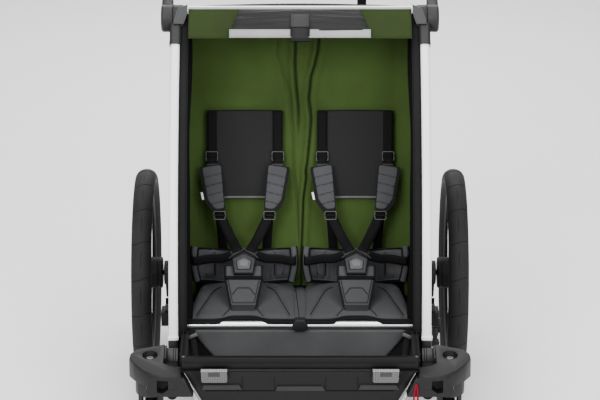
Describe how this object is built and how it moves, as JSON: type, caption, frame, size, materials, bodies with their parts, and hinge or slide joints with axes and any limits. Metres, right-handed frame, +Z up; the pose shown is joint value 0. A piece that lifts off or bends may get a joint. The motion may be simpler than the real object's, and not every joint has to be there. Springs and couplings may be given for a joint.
{
  "type": "child bike trailer",
  "caption": "Child bike trailer set up as a stroller: spoked rear wheels, swivel casters, folding hoops, push bar, fabric cabin with padded seats, harnesses and a footwell.",
  "frame": {"origin": "on the ground, under the centre of the whole trailer's box", "axes": "+Z up, the open front towards -Y, the child's right-hand side as seen from the front towards +X"},
  "size_m": [0.802, 0.86, 1.0694],
  "materials": {
    "white_paint": "satin white paint",
    "black_paint": "satin black paint",
    "bare_aluminium": "brushed",
    "black_plastic": "fine grained",
    "grey_plastic": "fine grained",
    "tyre_rubber": "matt",
    "foam": "closed-cell foam",
    "green_fabric": "woven, coated",
    "grey_fabric": "woven, padded",
    "dark_fabric": "woven or mesh",
    "black_webbing": "woven webbing",
    "red_webbing": "woven webbing",
    "clear_reflector": "prismatic"
  },
  "bodies": {
    "base": {"axle_beam": "black_paint", "axle_receiver_left": "black_plastic", "axle_receiver_right": "black_plastic", "buckle_left": "grey_plastic", "buckle_right": "grey_plastic", "cabin_shell": "green_fabric", "crotch_pad_left": "grey_fabric", "crotch_pad_right": "grey_fabric", "footwell_tray": "black_plastic", "front_cross_member": "black_paint", "harness_left": "black_webbing", "harness_right": "black_webbing", "hip_pad_left": "grey_fabric", "hip_pad_right": "grey_fabric", "pod_left": "black_plastic", "pod_right": "black_plastic", "pull_loop": "red_webbing", "rear_cross_tube": "black_paint", "reflector_left": "clear_reflector", "reflector_right": "clear_reflector", "seat_back_left": "dark_fabric", "seat_back_right": "dark_fabric", "seat_front_tube": "bare_aluminium", "seat_pad_left": "grey_fabric", "seat_pad_right": "grey_fabric", "side_rail_left": "black_paint", "side_rail_right": "black_paint"},
    "front_hoop": {"front_post_left": "white_paint", "front_post_right": "white_paint", "post_foot_left": "black_plastic", "post_foot_right": "black_plastic", "corner_joint_left": "black_plastic", "corner_joint_right": "black_plastic", "edge_binding_left": "dark_fabric", "edge_binding_right": "dark_fabric", "top_front_tube": "white_paint", "header_band": "green_fabric", "rolled_cover": "grey_fabric", "roof_panel": "dark_fabric"},
    "handlebar": {"handle_knuckle_left": "black_plastic", "handle_knuckle_right": "black_plastic", "handlebar_tube": "black_paint", "handlebar_grip": "foam", "wrist_strap": "black_webbing"},
    "rear_hoop": {"rear_hoop": "black_paint"},
    "brake": {"brake_lever": "grey_plastic"},
    "wheel_left": {"tyre_left": "tyre_rubber", "spoked_wheel_left": "black_paint"},
    "release_left": {"release_button_left": "grey_plastic"},
    "caster_fork_left": {"caster_fork_left": "black_plastic"},
    "caster_wheel_left": {"caster_core_left": "grey_plastic", "caster_tyre_left": "tyre_rubber"},
    "buckle_button_left": {"buckle_button_left": "grey_plastic"},
    "wheel_right": {"tyre_right": "tyre_rubber", "spoked_wheel_right": "black_paint"},
    "release_right": {"release_button_right": "grey_plastic"},
    "caster_fork_right": {"caster_fork_right": "black_plastic"},
    "caster_wheel_right": {"caster_core_right": "grey_plastic", "caster_tyre_right": "tyre_rubber"},
    "buckle_button_right": {"buckle_button_right": "grey_plastic"}
  },
  "joints": [
    {"name": "fold", "type": "hinge", "parent": "base", "child": "front_hoop", "pos_m": [0, -0.25, 0.212], "axis": [-1, 0, 0], "range_deg": [0, 55], "deforming": ["cabin_shell", "roof_panel", "header_band", "rolled_cover", "edge_binding_left", "edge_binding_right", "seat_back_left", "seat_back_right", "harness_left", "harness_right"]},
    {"name": "rear_fold", "type": "hinge", "parent": "base", "child": "rear_hoop", "pos_m": [0, 0.35, 0.212], "axis": [1, 0, 0], "range_deg": [0, 45]},
    {"name": "handlebar_tilt", "type": "hinge", "parent": "front_hoop", "child": "handlebar", "pos_m": [0, 0.1, 0.91], "axis": [1, 0, 0], "range_deg": [-30, 65]},
    {"name": "brake_lever", "type": "hinge", "parent": "base", "child": "brake", "pos_m": [0.34, 0.18, 0.118], "axis": [1, 0, 0], "range_deg": [0, 25]},
    {"name": "wheel_spin_left", "type": "hinge", "parent": "base", "child": "wheel_left", "pos_m": [-0.37, 0.18, 0.25], "axis": [1, 0, 0], "continuous": true},
    {"name": "release_left", "type": "slide", "parent": "wheel_left", "child": "release_left", "axis": [1, 0, 0], "range_m": [0, 0.0038], "stiffness_N_per_m": 500},
    {"name": "caster_swivel_left", "type": "hinge", "parent": "base", "child": "caster_fork_left", "pos_m": [-0.334, -0.35, 0.2], "axis": [0, 0, 1], "continuous": true},
    {"name": "caster_spin_left", "type": "hinge", "parent": "caster_fork_left", "child": "caster_wheel_left", "pos_m": [-0.334, -0.32, 0.08], "axis": [1, 0, 0], "continuous": true},
    {"name": "buckle_button_left", "type": "slide", "parent": "base", "child": "buckle_button_left", "axis": [0, 0.6058, -0.7956], "range_m": [0, 0.003], "stiffness_N_per_m": 400},
    {"name": "wheel_spin_right", "type": "hinge", "parent": "base", "child": "wheel_right", "pos_m": [0.37, 0.18, 0.25], "axis": [1, 0, 0], "continuous": true},
    {"name": "release_right", "type": "slide", "parent": "wheel_right", "child": "release_right", "axis": [-1, 0, 0], "range_m": [0, 0.0038], "stiffness_N_per_m": 500},
    {"name": "caster_swivel_right", "type": "hinge", "parent": "base", "child": "caster_fork_right", "pos_m": [0.334, -0.35, 0.2], "axis": [0, 0, 1], "continuous": true},
    {"name": "caster_spin_right", "type": "hinge", "parent": "caster_fork_right", "child": "caster_wheel_right", "pos_m": [0.334, -0.32, 0.08], "axis": [1, 0, 0], "continuous": true},
    {"name": "buckle_button_right", "type": "slide", "parent": "base", "child": "buckle_button_right", "axis": [0, 0.6058, -0.7956], "range_m": [0, 0.003], "stiffness_N_per_m": 400}
  ],
  "couplings": [
    {"joint": "rear_fold", "follows": "fold", "ratio": 0.8181}
  ]
}
